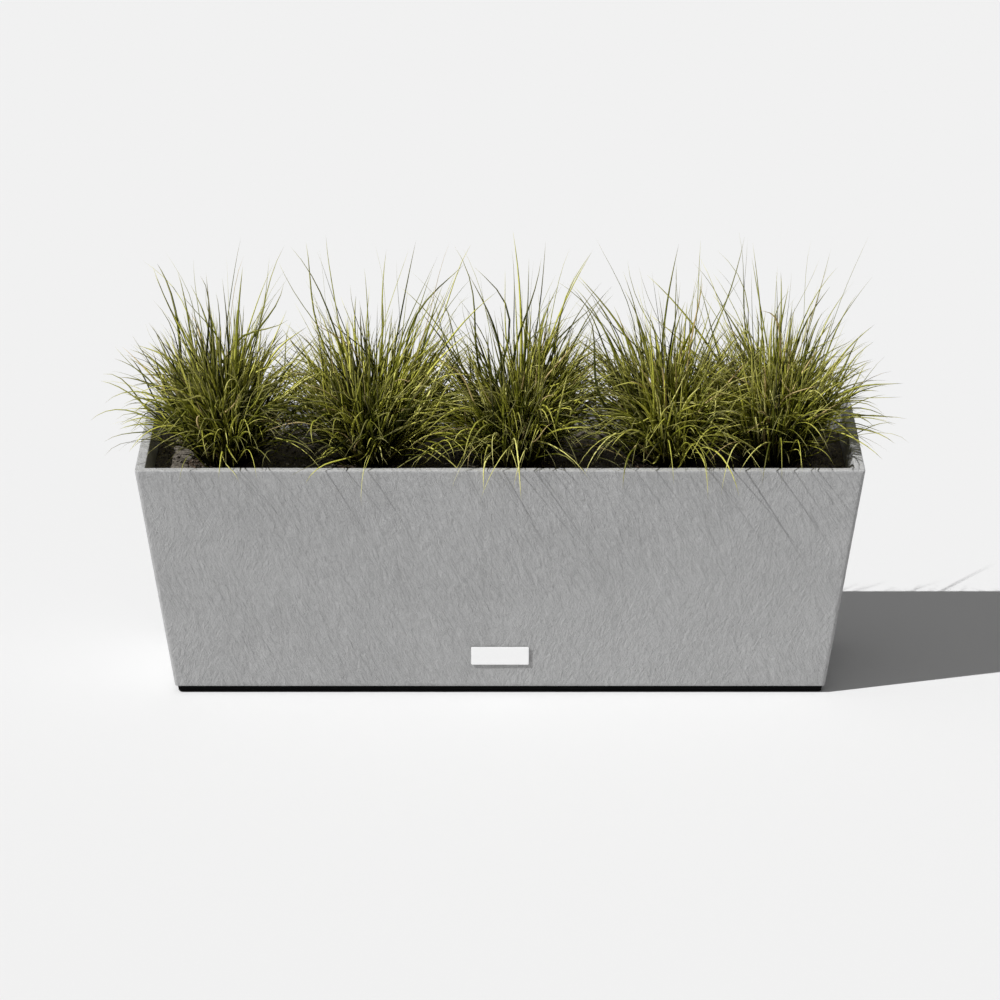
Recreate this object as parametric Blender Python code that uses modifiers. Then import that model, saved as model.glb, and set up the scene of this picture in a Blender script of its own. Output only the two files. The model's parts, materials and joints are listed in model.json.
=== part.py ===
"""Self watering planter: a long tapered trough with a hidden reservoir and five grass tussocks.

Units are metres, +Z is up and +X runs along the trough. The origin is on the ground, under the
middle of the trough. Every separate piece is one named object.
"""
import math

import bmesh
import bpy
from mathutils import Matrix, Vector

# ---- driving dimensions -------------------------------------------------------------------
TOP_LENGTH = 0.800
TOP_WIDTH = 0.262
HEIGHT = 0.272
SIDE_TAPER = 0.0376          # how far each side leans in from the rim to the shell's bottom
WALL = 0.011                 # level thickness of the walls, which is the rim's width
FLOOR = 0.008
CORNER = 0.004               # radius of the four slanted corners
RIM_EDGE = 0.0009            # small break of the shell's sharp edges
GAP = 0.0003                 # between pieces that touch

PLINTH_TOP = 0.0085
PLINTH_BOTTOM = 0.0010
PLINTH_INSET = 0.0028
FOOT_RADIUS = 0.011
FOOT_HEIGHT = 0.0030
FOOT_PLACES = [(x, y) for x in (-0.315, 0.315) for y in (-0.062, 0.062)]
SCREW_PLACES = [(x, y) for x in (-0.255, 0.255) for y in (-0.062, 0.062)]
SCREW_HEAD_RADIUS = 0.0045
SCREW_SHANK_RADIUS = 0.0020
SCREW_TIP = 0.0140

SOIL_TOP = 0.2440
PLATFORM_TOP = 0.0730
PLATE = 0.0025
SKIRT = 0.0080
FLEECE_TOP = 0.0753
SOIL_BOTTOM = 0.0756

CUP_X = (-0.230, 0.0, 0.230)
CUP_NAMES = ("left", "centre", "right")
CUP_MOUTH_RADIUS = 0.0300
CUP_BASE_RADIUS = 0.0225
CUP_WALL = 0.0018
CUP_FLANGE_RADIUS = 0.0335
LEG_PLACES = [(x, y) for x in (-0.325, 0.0, 0.325) for y in (-0.062, 0.062)]
LEG_RADIUS = 0.0090
LEG_SPIGOT_RADIUS = 0.0050

TUBE_Y = 0.070               # both upright tubes stand along the back wall
FILL_X = 0.285
FILL_RADIUS = 0.0150
FILL_WALL = 0.0020
FILL_TOP = 0.2580
FILL_BOTTOM = 0.0600
HINGE_BACK = 0.0237          # from the fill tube's axis to the cap's hinge axis
HINGE_Z = 0.2625
PIN_RADIUS = 0.00125

GAUGE_X = 0.190
GAUGE_RADIUS = 0.0100
GAUGE_WALL = 0.0020
GAUGE_TOP = 0.2500
WINDOW_TOP = 0.3120
FLOAT_LENGTH = 0.040
FLOAT_RADIUS = 0.0070
ROD_RADIUS = 0.0015

DRAIN_Y = 0.045
DRAIN_Z = 0.040
DRAIN_RADIUS = 0.0100
DRAIN_BORE = 0.0070

LABEL_Z = 0.047
LABEL_SIZE = (0.064, 0.022)

ROOT_TOP_RADIUS = 0.042
ROOT_BASE_RADIUS = 0.032
ROOT_DEPTH = 0.085
PLANT_Y = -0.008
GRASS_TOP = 0.515
TUSSOCK_BASE = 0.036         # radius of each tussock where it leaves the soil
REACH_Y = 0.175              # how far the foliage arches to the front and to the back
# each tussock: its place along the trough, and how far its blades reach to the left and right
TUSSOCKS = [
    (-0.307, 0.153, 0.078),
    (-0.143, 0.080, 0.080),
    (0.019, 0.080, 0.082),
    (0.189, 0.083, 0.055),
    (0.307, 0.058, 0.153),
]

INNER_FLOOR = PLINTH_TOP + FLOOR
LEAN = SIDE_TAPER / (HEIGHT - PLINTH_TOP)
LEAN_ANGLE = math.atan(LEAN)


# ---- helpers ------------------------------------------------------------------------------
def start_clean():
    for item in list(bpy.data.objects):
        bpy.data.objects.remove(item, do_unlink=True)
    for name in ("self_watering_planter", "cutters"):
        group = bpy.data.collections.new(name)
        bpy.context.scene.collection.children.link(group)
    return bpy.data.collections["self_watering_planter"], bpy.data.collections["cutters"]


PARTS, CUTTERS = start_clean()


def make_material(name, colour, roughness, metallic=0.0, alpha=1.0):
    """A Principled material for one sub-part."""
    material = bpy.data.materials.new(name)
    material.use_nodes = True
    shader = material.node_tree.nodes["Principled BSDF"]
    shader.inputs["Base Color"].default_value = (*colour, 1.0)
    shader.inputs["Roughness"].default_value = roughness
    shader.inputs["Metallic"].default_value = metallic
    shader.inputs["Alpha"].default_value = alpha
    material.diffuse_color = (*colour, alpha)
    return material


LOOKS = {
    "stone": ((0.33, 0.33, 0.325), 0.85, 0.0, 1.0),
    "black": ((0.018, 0.018, 0.019), 0.55, 0.0, 1.0),
    "rubber": ((0.025, 0.025, 0.025), 0.80, 0.0, 1.0),
    "steel": ((0.60, 0.60, 0.60), 0.35, 1.0, 1.0),
    "white": ((0.86, 0.86, 0.85), 0.45, 0.0, 1.0),
    "clear": ((0.80, 0.85, 0.86), 0.10, 0.0, 0.4),
    "red": ((0.60, 0.04, 0.03), 0.40, 0.0, 1.0),
    "foam": ((0.85, 0.78, 0.55), 0.80, 0.0, 1.0),
    "fleece": ((0.70, 0.70, 0.66), 0.95, 0.0, 1.0),
    "soil": ((0.085, 0.060, 0.040), 0.95, 0.0, 1.0),
    "roots": ((0.20, 0.13, 0.07), 0.95, 0.0, 1.0),
    "grass": ((0.20, 0.23, 0.05), 0.80, 0.0, 1.0),
}


def add_part(name, mesh, look, matrix=None):
    """Put a mesh in the parts collection as a named object with its own material."""
    item = bpy.data.objects.new(name, mesh)
    PARTS.objects.link(item)
    mesh.materials.clear()
    mesh.materials.append(make_material(name, *LOOKS[look]))
    item.matrix_world = matrix or Matrix.Identity(4)
    return item


def add_cutter(name, mesh, matrix=None):
    """Put a mesh in the cutters collection, hidden from renders."""
    item = bpy.data.objects.new(name, mesh)
    CUTTERS.objects.link(item)
    item.matrix_world = matrix or Matrix.Identity(4)
    item.hide_render = True
    item.display_type = "WIRE"
    return item


def boolean(item, other, operation="DIFFERENCE"):
    step = item.modifiers.new(operation.lower(), "BOOLEAN")
    step.operation = operation
    step.object = other
    step.solver = "EXACT"


def bevel(item, width, segments=2, angle=35):
    step = item.modifiers.new("rounded edges", "BEVEL")
    step.width = width
    step.segments = segments
    step.limit_method = "ANGLE"
    step.angle_limit = math.radians(angle)


def smooth(mesh):
    mesh.shade_smooth()
    mesh.set_sharp_from_angle(angle=math.radians(35))


def mesh_from(work, name):
    mesh = bpy.data.meshes.new(name)
    work.to_mesh(mesh)
    work.free()
    return mesh


def box_mesh(name, low, high):
    """A box between two opposite corners."""
    low, high = Vector(low), Vector(high)
    work = bmesh.new()
    bmesh.ops.create_cube(work, size=1.0)
    for vert in work.verts:
        for axis in range(3):
            vert.co[axis] = high[axis] if vert.co[axis] > 0 else low[axis]
    return mesh_from(work, name)


def half_sizes(z, inset=0.0):
    """Half length and half width of the shell's outside at a height, less an inset."""
    lean = LEAN * (HEIGHT - z)
    return TOP_LENGTH / 2 - lean - inset, TOP_WIDTH / 2 - lean - inset


def tapered_mesh(name, low, high, inset, corner, segments=3):
    """A block that follows the shell's taper between two heights, with rounded upright corners."""
    work = bmesh.new()
    bmesh.ops.create_cube(work, size=2.0)
    for vert in work.verts:
        z = high if vert.co.z > 0 else low
        half_x, half_y = half_sizes(z, inset)
        vert.co = Vector((vert.co.x * half_x, vert.co.y * half_y, z))
    corners = [edge for edge in work.edges
               if abs(edge.verts[0].co.z - edge.verts[1].co.z) > (high - low) / 2]
    bmesh.ops.bevel(work, geom=corners, offset=corner, segments=segments, profile=0.5,
                    affect="EDGES")
    return mesh_from(work, name)


def prism_mesh(name, radius, low, high, sides, axis="Z", places=((0.0, 0.0),)):
    """One or more upright prisms or cylinders, optionally turned to lie along X."""
    work = bmesh.new()
    for x, y in places:
        middle = Matrix.Translation((x, y, (low + high) / 2))
        bmesh.ops.create_cone(work, cap_ends=True, segments=sides, radius1=radius,
                              radius2=radius, depth=high - low, matrix=middle)
    if axis == "X":
        bmesh.ops.rotate(work, verts=work.verts, cent=(0, 0, 0),
                         matrix=Matrix.Rotation(math.pi / 2, 3, "Y"))
    return mesh_from(work, name)


def profile_mesh(name, points, closed):
    """A line of (radius, height) points in the XZ plane, for the Screw modifier to turn."""
    work = bmesh.new()
    verts = [work.verts.new((radius, 0.0, z)) for radius, z in points]
    pairs = list(zip(verts, verts[1:]))
    if closed:
        pairs.append((verts[-1], verts[0]))
    for pair in pairs:
        work.edges.new(pair)
    return mesh_from(work, name)


def turn(item, steps):
    """Turn a profile about its object's Z axis."""
    step = item.modifiers.new("turned", "SCREW")
    step.axis = "Z"
    step.angle = math.tau
    step.steps = steps
    step.render_steps = steps
    step.use_merge_vertices = True
    step.merge_threshold = 0.00001
    step.use_smooth_shade = True


def turned_part(name, points, look, steps=24, closed=True, matrix=None):
    """A turned piece. The points run down its outer side, then up its inner side if it is hollow."""
    item = add_part(name, profile_mesh(name, points, closed), look, matrix)
    turn(item, steps)
    return item


def upright(x, y):
    return Matrix.Translation((x, y, 0.0))


def wall_matrix(side, along, z):
    """A frame on the shell's outside: local Z points out of the wall, and local Y runs up it."""
    half_x, half_y = half_sizes(z)
    out, up = math.cos(LEAN_ANGLE), math.sin(LEAN_ANGLE)
    if side == "front":
        place, normal, rise = (along, -half_y, z), Vector((0, -out, -up)), Vector((0, -up, out))
    else:
        place, normal, rise = (half_x, along, z), Vector((out, 0, -up)), Vector((up, 0, out))
    across = rise.cross(normal)
    turn_matrix = Matrix((across, rise, normal)).transposed().to_4x4()
    return Matrix.Translation(place) @ turn_matrix


# ---- shell, base and label ----------------------------------------------------------------
def make_shell():
    """The one-piece trough: a tapered block, hollowed out, with a flat rim."""
    shell = add_part("outer_shell", tapered_mesh("outer_shell", PLINTH_TOP, HEIGHT, 0.0, CORNER),
                     "stone")
    hollow_top = HEIGHT + 0.010
    hollow = tapered_mesh("shell_hollow", INNER_FLOOR, hollow_top, WALL, CORNER / 2, 2)
    boolean(shell, add_cutter("shell_hollow", hollow))
    bevel(shell, RIM_EDGE, 2)
    hole = prism_mesh("drain_hole", DRAIN_RADIUS + GAP, -0.020, 0.006, 24)
    boolean(shell, add_cutter("drain_hole", hole, wall_matrix("right", DRAIN_Y, DRAIN_Z)))
    holes = prism_mesh("screw_holes", SCREW_SHANK_RADIUS + GAP, PLINTH_TOP - 0.002,
                       SCREW_TIP + GAP, 12, places=SCREW_PLACES)
    boolean(shell, add_cutter("screw_holes", holes))


def make_plinth():
    """The dark base plate under the shell, with its four feet and four screws."""
    mesh = tapered_mesh("base_plinth", PLINTH_BOTTOM, PLINTH_TOP - GAP, PLINTH_INSET, CORNER)
    plinth = add_part("base_plinth", mesh, "black")
    bevel(plinth, 0.0006, 1)
    foot_pockets = prism_mesh("foot_pockets", FOOT_RADIUS + GAP, PLINTH_BOTTOM - 0.002,
                              FOOT_HEIGHT + GAP, 24, places=FOOT_PLACES)
    boolean(plinth, add_cutter("foot_pockets", foot_pockets))
    head_top = PLINTH_BOTTOM + 0.0035
    head_pockets = prism_mesh("head_pockets", SCREW_HEAD_RADIUS + GAP, PLINTH_BOTTOM - 0.002,
                              head_top, 16, places=SCREW_PLACES)
    boolean(plinth, add_cutter("head_pockets", head_pockets))
    shank_holes = prism_mesh("shank_holes", SCREW_SHANK_RADIUS + GAP, 0.0, PLINTH_TOP + 0.002, 12,
                             places=SCREW_PLACES)
    boolean(plinth, add_cutter("shank_holes", shank_holes))

    for number, (x, y) in enumerate(FOOT_PLACES, 1):
        points = [(0.0, FOOT_HEIGHT), (FOOT_RADIUS, FOOT_HEIGHT), (FOOT_RADIUS, 0.0008),
                  (FOOT_RADIUS - 0.0008, 0.0), (0.0, 0.0)]
        turned_part(f"rubber_foot_{number}", points, "rubber", 24, False, upright(x, y))

    for number, (x, y) in enumerate(SCREW_PLACES, 1):
        head_bottom = head_top - GAP - 0.0026
        points = [(0.0, SCREW_TIP), (0.0008, SCREW_TIP),
                  (SCREW_SHANK_RADIUS, SCREW_TIP - 0.0018),
                  (SCREW_SHANK_RADIUS, head_top - GAP), (SCREW_HEAD_RADIUS, head_top - GAP),
                  (SCREW_HEAD_RADIUS, head_bottom + 0.0008),
                  (SCREW_HEAD_RADIUS - 0.0010, head_bottom), (0.0, head_bottom)]
        screw = turned_part(f"plinth_screw_{number}", points, "steel", 12, False, upright(x, y))
        socket = prism_mesh("hex_socket", 0.0016, head_bottom - 0.001, head_bottom + 0.0014, 6)
        boolean(screw, add_cutter("hex_socket", socket, upright(x, y)))


def rounded_plate(name, size, low, high, corner):
    """A flat plate in the local XY plane with rounded corners."""
    work = bmesh.new()
    bmesh.ops.create_cube(work, size=1.0)
    for vert in work.verts:
        vert.co.x *= size[0]
        vert.co.y *= size[1]
        vert.co.z = high if vert.co.z > 0 else low
    upright_edges = [edge for edge in work.edges
                     if abs(edge.verts[0].co.z - edge.verts[1].co.z) > (high - low) / 2]
    bmesh.ops.bevel(work, geom=upright_edges, offset=corner, segments=3, profile=0.5,
                    affect="EDGES")
    return mesh_from(work, name)


def make_label():
    """A blank plate and the adhesive pad that holds it low on the front."""
    place = wall_matrix("front", 0.0, LABEL_Z)
    pad_size = (LABEL_SIZE[0] - 0.006, LABEL_SIZE[1] - 0.005)
    pad_top, plate_top = 0.0006, 0.0016
    pad = rounded_plate("label_adhesive_pad", pad_size, GAP, pad_top, 0.001)
    add_part("label_adhesive_pad", pad, "black", place)
    plate = rounded_plate("label_plate", LABEL_SIZE, pad_top + GAP, plate_top, 0.0012)
    bevel(add_part("label_plate", plate, "white", place), 0.0002, 1)


# ---- reservoir ----------------------------------------------------------------------------
def clear_of_features(x, y, margin):
    """Whether a point on the platform is clear of its cups, legs and tubes."""
    features = [(cup_x, 0.0, CUP_FLANGE_RADIUS) for cup_x in CUP_X]
    features += [(leg_x, leg_y, LEG_RADIUS) for leg_x, leg_y in LEG_PLACES]
    features += [(FILL_X, TUBE_Y, FILL_RADIUS + 0.004), (GAUGE_X, TUBE_Y, GAUGE_RADIUS)]
    return all(math.hypot(x - fx, y - fy) > radius + margin for fx, fy, radius in features)


def make_platform():
    """The perforated plate with a turned-down edge that keeps the soil above the water."""
    low = PLATFORM_TOP - PLATE - SKIRT
    edge_gap = WALL + 0.0015
    platform = add_part("soil_platform", tapered_mesh("soil_platform", low, PLATFORM_TOP,
                                                      edge_gap, 0.003, 2), "black")
    under = tapered_mesh("platform_underside", low - 0.004, PLATFORM_TOP - PLATE,
                         edge_gap + PLATE, 0.002, 2)
    boolean(platform, add_cutter("platform_underside", under))

    bottom, top = low - 0.006, PLATFORM_TOP + 0.004
    cup_holes = prism_mesh("cup_holes", CUP_MOUTH_RADIUS + GAP, bottom, top, 32,
                           places=[(x, 0.0) for x in CUP_X])
    boolean(platform, add_cutter("cup_holes", cup_holes))
    for name, x, radius in (("fill_hole", FILL_X, FILL_RADIUS),
                            ("gauge_hole", GAUGE_X, GAUGE_RADIUS)):
        hole = prism_mesh(name, radius + 2 * GAP, bottom, top, 24, places=[(x, TUBE_Y)])
        boolean(platform, add_cutter(name, hole))
    leg_holes = prism_mesh("leg_holes", LEG_SPIGOT_RADIUS + GAP, bottom, top, 16,
                           places=LEG_PLACES)
    boolean(platform, add_cutter("leg_holes", leg_holes))
    vents = [(column * 0.044, row * 0.035) for column in range(-7, 8) for row in (-2, -1, 0, 1, 2)]
    vents = [place for place in vents if clear_of_features(*place, 0.008)]
    boolean(platform, add_cutter("vents", prism_mesh("vents", 0.0035, bottom, top, 6,
                                                     places=vents)))

    for number, (x, y) in enumerate(LEG_PLACES, 1):
        foot, shoulder = INNER_FLOOR + GAP, PLATFORM_TOP - PLATE - GAP
        points = [(0.0, PLATFORM_TOP), (LEG_SPIGOT_RADIUS, PLATFORM_TOP),
                  (LEG_SPIGOT_RADIUS, shoulder), (LEG_RADIUS, shoulder),
                  (LEG_RADIUS, foot + 0.002), (LEG_RADIUS + 0.004, foot + 0.002),
                  (LEG_RADIUS + 0.004, foot), (LEG_RADIUS - 0.002, foot),
                  (LEG_RADIUS - 0.002, shoulder - 0.006), (0.0, shoulder - 0.006)]
        turned_part(f"platform_leg_{number}", points, "black", 16, False, upright(x, y))


def cup_radius(z):
    """Outer radius of a wicking cup at a height."""
    low, high = INNER_FLOOR + GAP, PLATFORM_TOP + GAP
    share = (z - low) / (high - low)
    return CUP_BASE_RADIUS + (CUP_MOUTH_RADIUS - CUP_BASE_RADIUS) * share


def make_cups():
    """Slotted cups that hang through the platform and hold soil down in the water."""
    low, high = INNER_FLOOR + GAP, PLATFORM_TOP + GAP
    slot = box_mesh("cup_slot", (-0.040, -0.0020, low + 0.008), (0.040, 0.0020, low + 0.036))
    for name, x in zip(CUP_NAMES, CUP_X):
        points = [(0.0, low + CUP_WALL), (cup_radius(low) - CUP_WALL, low + CUP_WALL),
                  (cup_radius(high) - CUP_WALL, FLEECE_TOP), (CUP_FLANGE_RADIUS, FLEECE_TOP),
                  (CUP_FLANGE_RADIUS, high), (cup_radius(high), high),
                  (cup_radius(low), low), (0.0, low)]
        cup = turned_part(f"wicking_cup_{name}", points, "black", 32, False, upright(x, 0.0))
        for turn_number in range(3):
            angle = Matrix.Rotation(turn_number * math.pi / 3 + math.pi / 6, 4, "Z")
            boolean(cup, add_cutter("cup_slot", slot, upright(x, 0.0) @ angle))


def make_fleece():
    """The filter sheet on the platform, with holes for the cups and both tubes."""
    fleece = add_part("filter_fleece", tapered_mesh("filter_fleece", PLATFORM_TOP + GAP, FLEECE_TOP,
                                                    WALL + 0.003, 0.003, 2), "fleece")
    low, high = PLATFORM_TOP - 0.002, FLEECE_TOP + 0.002
    holes = prism_mesh("fleece_cup_holes", CUP_FLANGE_RADIUS + 2 * GAP, low, high, 32,
                       places=[(x, 0.0) for x in CUP_X])
    boolean(fleece, add_cutter("fleece_cup_holes", holes))
    for name, x, radius in (("fleece_fill_hole", FILL_X, FILL_RADIUS + 0.004),
                            ("fleece_gauge_hole", GAUGE_X, GAUGE_RADIUS)):
        hole = prism_mesh(name, radius + 2 * GAP, low, high, 24, places=[(x, TUBE_Y)])
        boolean(fleece, add_cutter(name, hole))


# ---- filling tube and its hinged cap ------------------------------------------------------
def make_fill_tube():
    """The upright tube that leads water down to the reservoir, and the collar on its top."""
    place = upright(FILL_X, TUBE_Y)
    inner = FILL_RADIUS - FILL_WALL
    flange = FILL_RADIUS + 0.004
    points = [(FILL_RADIUS, FILL_TOP), (FILL_RADIUS, FLEECE_TOP), (flange, FLEECE_TOP),
              (flange, PLATFORM_TOP + GAP), (FILL_RADIUS, PLATFORM_TOP + GAP),
              (FILL_RADIUS, FILL_BOTTOM), (inner, FILL_BOTTOM), (inner, FILL_TOP)]
    turned_part("fill_tube", points, "black", 32, True, place)

    collar_radius, collar_top = FILL_RADIUS + 0.004, FILL_TOP + 0.0023
    points = [(collar_radius - 0.0008, collar_top), (collar_radius, collar_top - 0.0008),
              (collar_radius, SOIL_TOP + GAP), (FILL_RADIUS + GAP, SOIL_TOP + GAP),
              (FILL_RADIUS + GAP, FILL_TOP + GAP), (inner + 0.0002, FILL_TOP + GAP),
              (inner + 0.0002, collar_top)]
    collar = turned_part("fill_collar", points, "black", 32, True, place)
    for side, left in (("left", -0.0080), ("right", 0.0050)):
        arm = box_mesh("ear_arm", (left, 0.0160, 0.2475), (left + 0.003, 0.0268, 0.2600))
        boolean(collar, add_cutter(f"ear_arm_{side}", arm, place), "UNION")
        ear = box_mesh("ear", (left, 0.0207, 0.2475), (left + 0.003, 0.0268, 0.2658))
        boolean(collar, add_cutter(f"ear_{side}", ear, place), "UNION")
    hinge = Matrix.Translation((FILL_X, TUBE_Y + HINGE_BACK, HINGE_Z))
    pin_hole = prism_mesh("pin_hole", PIN_RADIUS + GAP, -0.012, 0.012, 16, "X")
    boolean(collar, add_cutter("pin_hole", pin_hole, hinge))
    pin = prism_mesh("fill_cap_pin", PIN_RADIUS, -0.0090, 0.0090, 16, "X")
    smooth(add_part("fill_cap_pin", pin, "steel", hinge).data)
    return hinge, place, collar_top


def make_fill_cap(hinge, place, collar_top):
    """The lid of the filling tube: a knuckle on the hinge axis, joined to a disc with a finger tab."""
    low = collar_top + GAP
    radius, plug = FILL_RADIUS + 0.0048, FILL_RADIUS - FILL_WALL - 0.0006
    knuckle = prism_mesh("fill_cap", 0.0030, -0.0045, 0.0045, 20, "X")
    cap = add_part("fill_cap", knuckle, "black", hinge)
    points = [(0.0, low + 0.0034), (radius - 0.0030, low + 0.0030), (radius - 0.0006, low + 0.0024),
              (radius, low + 0.0014), (radius, low), (plug, low), (plug, low - 0.0030),
              (plug - 0.0016, low - 0.0030), (plug - 0.0016, low), (0.0, low)]
    disc = add_cutter("cap_disc", profile_mesh("cap_disc", points, False), place)
    turn(disc, 32)
    boolean(cap, disc, "UNION")
    bridge = box_mesh("cap_bridge", (-0.0045, 0.0160, low), (0.0045, HINGE_BACK, low + 0.0022))
    boolean(cap, add_cutter("cap_bridge", bridge, place), "UNION")
    tab = box_mesh("cap_tab", (-0.0060, -0.0245, low + 0.0004), (0.0060, -0.0170, low + 0.0022))
    boolean(cap, add_cutter("cap_tab", tab, place), "UNION")
    bore = prism_mesh("cap_bore", PIN_RADIUS + GAP, -0.012, 0.012, 16, "X")
    boolean(cap, add_cutter("cap_bore", bore, hinge))


# ---- water level gauge --------------------------------------------------------------------
def dome_points(radius, top):
    """Profile points of a half ball, from its top down to its rim."""
    angles = [math.pi / 2 * step / 5 for step in range(6)]
    return [(radius * math.sin(angle), top - radius * (1 - math.cos(angle))) for angle in angles]


def make_gauge():
    """A tube down to the reservoir floor, with a float whose marker rises in a clear window."""
    place = upright(GAUGE_X, TUBE_Y)
    inner = GAUGE_RADIUS - GAUGE_WALL
    foot = INNER_FLOOR + GAP
    points = [(GAUGE_RADIUS, GAUGE_TOP), (GAUGE_RADIUS, foot), (inner, foot), (inner, GAUGE_TOP)]
    tube = turned_part("gauge_tube", points, "black", 24, True, place)
    inlet = box_mesh("gauge_inlet", (-0.0025, -0.0150, foot - 0.002), (0.0025, 0.0150, foot + 0.010))
    boolean(tube, add_cutter("gauge_inlet", inlet, place))

    ring = GAUGE_RADIUS + 0.005
    points = [(ring - 0.0012, GAUGE_TOP + 0.0050), (ring, GAUGE_TOP + 0.0038),
              (ring, SOIL_TOP + GAP), (GAUGE_RADIUS + GAP, SOIL_TOP + GAP),
              (GAUGE_RADIUS + GAP, GAUGE_TOP + 0.0050)]
    turned_part("gauge_bezel", points, "black", 32, True, place)

    base, skin = GAUGE_TOP + GAP, 0.0014
    shoulder = WINDOW_TOP - GAUGE_RADIUS

    outside = dome_points(GAUGE_RADIUS, WINDOW_TOP)
    inside = dome_points(GAUGE_RADIUS - skin, shoulder + GAUGE_RADIUS - skin)
    points = outside + [(GAUGE_RADIUS, base), (GAUGE_RADIUS - skin, base)] + inside[::-1]
    turned_part("gauge_window", points, "clear", 24, False, place)

    float_low = INNER_FLOOR + 2 * GAP
    float_high = float_low + FLOAT_LENGTH
    socket = ROD_RADIUS + GAP
    points = [(socket, float_high), (FLOAT_RADIUS - 0.001, float_high),
              (FLOAT_RADIUS, float_high - 0.001), (FLOAT_RADIUS, float_low + 0.001),
              (FLOAT_RADIUS - 0.001, float_low), (0.0, float_low)]
    points = [(0.0, float_high - 0.012), (socket, float_high - 0.012)] + points
    turned_part("gauge_float", points, "foam", 20, False, place)

    marker_low = GAUGE_TOP - 0.004
    rod_low, rod_high = float_high - 0.012 + GAP, marker_low + 0.006
    rod = prism_mesh("gauge_rod", ROD_RADIUS, rod_low, rod_high, 12)
    smooth(add_part("gauge_rod", rod, "white", place).data)
    marker_high = marker_low + 0.009
    points = [(0.0, marker_high), (0.0040, marker_high), (0.0055, marker_high - 0.0015),
              (0.0055, marker_low), (socket, marker_low), (socket, rod_high + GAP),
              (0.0, rod_high + GAP)]
    turned_part("gauge_marker", points, "red", 20, False, place)


# ---- drain in the right end ---------------------------------------------------------------
def make_drain():
    """A threaded bush through the right end wall, its washer and nut, and a push-in bung."""
    place = wall_matrix("right", DRAIN_Y, DRAIN_Z)
    wall = WALL * math.cos(LEAN_ANGLE)
    inside = -wall - 0.0115
    flange = DRAIN_RADIUS + 0.0055
    points = [(flange - 0.0008, 0.0022), (flange, 0.0014), (flange, GAP), (DRAIN_RADIUS, GAP),
              (DRAIN_RADIUS, inside), (DRAIN_BORE, inside), (DRAIN_BORE, 0.0022)]
    turned_part("drain_bush", points, "black", 24, True, place)

    washer_top = -wall - GAP
    washer_low = washer_top - 0.0020
    hole = DRAIN_RADIUS + GAP
    points = [(flange, washer_top), (flange, washer_low), (hole, washer_low), (hole, washer_top)]
    turned_part("drain_washer", points, "rubber", 24, True, place)

    nut_top = washer_low - GAP
    nut = add_part("drain_nut", prism_mesh("drain_nut", 0.0165, nut_top - 0.0055, nut_top, 6),
                   "black", place)
    bore = prism_mesh("nut_bore", hole, nut_top - 0.008, nut_top + 0.002, 24)
    boolean(nut, add_cutter("nut_bore", bore, place))

    bung, lip = DRAIN_BORE - GAP, 0.0022 + GAP
    points = [(0.0, lip + 0.0018), (0.0105, lip + 0.0018), (0.0113, lip + 0.0010), (0.0113, lip),
              (bung, lip), (bung, -0.0080), (bung - 0.0008, -0.0120), (0.0, -0.0120)]
    plug = turned_part("drain_plug", points, "rubber", 24, False, place)
    tab = box_mesh("plug_grip", (-0.0075, -0.0012, lip + 0.0010), (0.0075, 0.0012, lip + 0.0036))
    boolean(plug, add_cutter("plug_grip", tab, place), "UNION")


# ---- soil and plants ----------------------------------------------------------------------
def make_soil():
    """The bed of potting mix with pockets round the root balls, and the soil packed in the cups."""
    bed = add_part("soil_bed", tapered_mesh("soil_bed", SOIL_BOTTOM, SOIL_TOP, WALL + 2 * GAP,
                                            CORNER / 2, 2), "soil")
    cup_low, cup_high = INNER_FLOOR + GAP, PLATFORM_TOP + GAP
    wick_low, wick_high = cup_low + CUP_WALL + GAP, SOIL_BOTTOM - GAP
    shrink = CUP_WALL + 2 * GAP
    points = [(0.0, wick_high), (cup_radius(cup_high) - shrink, wick_high),
              (cup_radius(cup_low) - shrink, wick_low), (0.0, wick_low)]
    for name, x in zip(CUP_NAMES, CUP_X):
        turned_part(f"soil_wick_{name}", points, "soil", 24, False, upright(x, 0.0))

    root_low = SOIL_TOP - ROOT_DEPTH
    for number, (x, _, _) in enumerate(TUSSOCKS, 1):
        place = upright(x, PLANT_Y)
        pocket_slope = (ROOT_TOP_RADIUS - ROOT_BASE_RADIUS) / ROOT_DEPTH
        above = SOIL_TOP + 0.010
        points = [(0.0, above), (ROOT_TOP_RADIUS + GAP + 0.010 * pocket_slope, above),
                  (ROOT_BASE_RADIUS + GAP, root_low - GAP), (0.0, root_low - GAP)]
        pocket = add_cutter(f"root_pocket_{number}", profile_mesh("root_pocket", points, False),
                            place)
        turn(pocket, 20)
        boolean(bed, pocket)
        points = [(0.0, SOIL_TOP), (ROOT_TOP_RADIUS, SOIL_TOP), (ROOT_BASE_RADIUS, root_low),
                  (0.0, root_low)]
        turned_part(f"root_ball_{number}", points, "roots", 20, False, place)

    for name, x, radius in (("soil_fill_hole", FILL_X, FILL_RADIUS),
                            ("soil_gauge_hole", GAUGE_X, GAUGE_RADIUS)):
        hole = prism_mesh(name, radius + 2 * GAP, SOIL_BOTTOM - 0.010, SOIL_TOP + 0.010, 24,
                          places=[(x, TUBE_Y)])
        boolean(bed, add_cutter(name, hole))


def spread(share):
    """How far a tussock has opened at a share of its height: a close base, then a wide head."""
    if share < 0.25:
        return 0.10 * share / 0.25
    if share < 0.60:
        return 0.10 + 0.90 * math.sin(math.pi / 2 * (share - 0.25) / 0.35)
    return 0.25 + 0.75 * math.cos(math.pi / 2 * (share - 0.60) / 0.40)


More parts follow.
